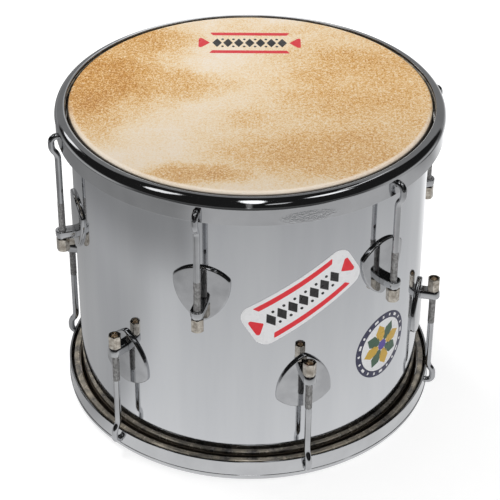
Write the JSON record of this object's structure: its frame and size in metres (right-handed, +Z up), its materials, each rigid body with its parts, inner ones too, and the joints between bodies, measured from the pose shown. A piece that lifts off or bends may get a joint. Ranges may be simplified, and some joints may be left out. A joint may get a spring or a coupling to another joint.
{
  "type": "repinique",
  "caption": "Small two-headed drum: straight polished metal shell, skins drawn down by chromed hoops on hooked rods, long nuts and shield-shaped lugs.",
  "frame": {"origin": "middle of the foot, on the plane of the bottom hoop's face", "axes": "+Z up along the drum's axis, -Y towards the front of the picture, +X to its right"},
  "size_m": [0.34, 0.3374, 0.2842],
  "materials": {
    "shell": "polished",
    "hoops": "bright chromed steel",
    "flesh_hoops": "plain",
    "top_skin": "natural skin, mottled cream and tan",
    "bottom_skin": "natural skin, pale",
    "plates": "bright chromed steel",
    "arms": "bright chromed steel",
    "rods": "bright chromed steel",
    "nuts": "bright chromed steel",
    "fixings": "zinc plated"
  },
  "bodies": {
    "drum": {"shell": "shell", "top_skin": "top_skin", "bottom_skin": "bottom_skin", "shank_washers": "fixings", "shank_nuts": "fixings", "top_plate_1": "plates", "top_plate_2": "plates", "top_plate_3": "plates", "top_plate_4": "plates", "top_plate_5": "plates", "top_plate_6": "plates", "top_arm_1": "arms", "top_arm_2": "arms", "top_arm_3": "arms", "top_arm_4": "arms", "top_arm_5": "arms", "top_arm_6": "arms", "bottom_plate_1": "plates", "bottom_plate_2": "plates", "bottom_plate_3": "plates", "bottom_plate_4": "plates", "bottom_plate_5": "plates", "bottom_plate_6": "plates", "bottom_arm_1": "arms", "bottom_arm_2": "arms", "bottom_arm_3": "arms", "bottom_arm_4": "arms", "bottom_arm_5": "arms", "bottom_arm_6": "arms"},
    "top_rim": {"top_hoop": "hoops", "top_flesh_hoop": "flesh_hoops", "top_rod_1": "rods", "top_rod_2": "rods", "top_rod_3": "rods", "top_rod_4": "rods", "top_rod_5": "rods", "top_rod_6": "rods"},
    "bottom_rim": {"bottom_hoop": "hoops", "bottom_flesh_hoop": "flesh_hoops", "bottom_rod_1": "rods", "bottom_rod_2": "rods", "bottom_rod_3": "rods", "bottom_rod_4": "rods", "bottom_rod_5": "rods", "bottom_rod_6": "rods"},
    "top_nut_1": {"top_nut_1": "nuts"},
    "top_nut_2": {"top_nut_2": "nuts"},
    "top_nut_3": {"top_nut_3": "nuts"},
    "top_nut_4": {"top_nut_4": "nuts"},
    "top_nut_5": {"top_nut_5": "nuts"},
    "top_nut_6": {"top_nut_6": "nuts"},
    "bottom_nut_1": {"bottom_nut_1": "nuts"},
    "bottom_nut_2": {"bottom_nut_2": "nuts"},
    "bottom_nut_3": {"bottom_nut_3": "nuts"},
    "bottom_nut_4": {"bottom_nut_4": "nuts"},
    "bottom_nut_5": {"bottom_nut_5": "nuts"},
    "bottom_nut_6": {"bottom_nut_6": "nuts"}
  },
  "joints": [
    {"name": "top_tension", "type": "slide", "parent": "drum", "child": "top_rim", "axis": [0, 0, -1], "range_m": [-0.005, 0.003]},
    {"name": "bottom_tension", "type": "slide", "parent": "drum", "child": "bottom_rim", "axis": [0, 0, 1], "range_m": [-0.005, 0.003]},
    {"name": "top_nut_1_turn", "type": "hinge", "parent": "drum", "child": "top_nut_1", "pos_m": [-0.04136, -0.16107, 0.16455], "axis": [0, 0, 1], "range_deg": [-1805, 1085]},
    {"name": "top_nut_2_turn", "type": "hinge", "parent": "drum", "child": "top_nut_2", "pos_m": [0.11882, -0.11635, 0.16455], "axis": [0, 0, 1], "range_deg": [-1805, 1085]},
    {"name": "top_nut_3_turn", "type": "hinge", "parent": "drum", "child": "top_nut_3", "pos_m": [0.16017, 0.04472, 0.16455], "axis": [0, 0, 1], "range_deg": [-1805, 1085]},
    {"name": "top_nut_4_turn", "type": "hinge", "parent": "drum", "child": "top_nut_4", "pos_m": [0.04136, 0.16107, 0.16455], "axis": [0, 0, 1], "range_deg": [-1805, 1085]},
    {"name": "top_nut_5_turn", "type": "hinge", "parent": "drum", "child": "top_nut_5", "pos_m": [-0.11882, 0.11635, 0.16455], "axis": [0, 0, 1], "range_deg": [-1805, 1085]},
    {"name": "top_nut_6_turn", "type": "hinge", "parent": "drum", "child": "top_nut_6", "pos_m": [-0.16017, -0.04472, 0.16455], "axis": [0, 0, 1], "range_deg": [-1805, 1085]},
    {"name": "bottom_nut_1_turn", "type": "hinge", "parent": "drum", "child": "bottom_nut_1", "pos_m": [0.05028, -0.15852, 0.11865], "axis": [0, 0, -1], "range_deg": [-1805, 1085]},
    {"name": "bottom_nut_2_turn", "type": "hinge", "parent": "drum", "child": "bottom_nut_2", "pos_m": [0.16242, -0.03571, 0.11865], "axis": [0, 0, -1], "range_deg": [-1805, 1085]},
    {"name": "bottom_nut_3_turn", "type": "hinge", "parent": "drum", "child": "bottom_nut_3", "pos_m": [0.11214, 0.1228, 0.11865], "axis": [0, 0, -1], "range_deg": [-1805, 1085]},
    {"name": "bottom_nut_4_turn", "type": "hinge", "parent": "drum", "child": "bottom_nut_4", "pos_m": [-0.05028, 0.15852, 0.11865], "axis": [0, 0, -1], "range_deg": [-1805, 1085]},
    {"name": "bottom_nut_5_turn", "type": "hinge", "parent": "drum", "child": "bottom_nut_5", "pos_m": [-0.16242, 0.03571, 0.11865], "axis": [0, 0, -1], "range_deg": [-1805, 1085]},
    {"name": "bottom_nut_6_turn", "type": "hinge", "parent": "drum", "child": "bottom_nut_6", "pos_m": [-0.11214, -0.1228, 0.11865], "axis": [0, 0, -1], "range_deg": [-1805, 1085]}
  ],
  "couplings": [
    {"joint": "top_nut_1_turn", "follows": "top_tension", "rad_per_m": 6283.2},
    {"joint": "top_nut_2_turn", "follows": "top_tension", "rad_per_m": 6283.2},
    {"joint": "top_nut_3_turn", "follows": "top_tension", "rad_per_m": 6283.2},
    {"joint": "top_nut_4_turn", "follows": "top_tension", "rad_per_m": 6283.2},
    {"joint": "top_nut_5_turn", "follows": "top_tension", "rad_per_m": 6283.2},
    {"joint": "top_nut_6_turn", "follows": "top_tension", "rad_per_m": 6283.2},
    {"joint": "bottom_nut_1_turn", "follows": "bottom_tension", "rad_per_m": 6283.2},
    {"joint": "bottom_nut_2_turn", "follows": "bottom_tension", "rad_per_m": 6283.2},
    {"joint": "bottom_nut_3_turn", "follows": "bottom_tension", "rad_per_m": 6283.2},
    {"joint": "bottom_nut_4_turn", "follows": "bottom_tension", "rad_per_m": 6283.2},
    {"joint": "bottom_nut_5_turn", "follows": "bottom_tension", "rad_per_m": 6283.2},
    {"joint": "bottom_nut_6_turn", "follows": "bottom_tension", "rad_per_m": 6283.2}
  ]
}
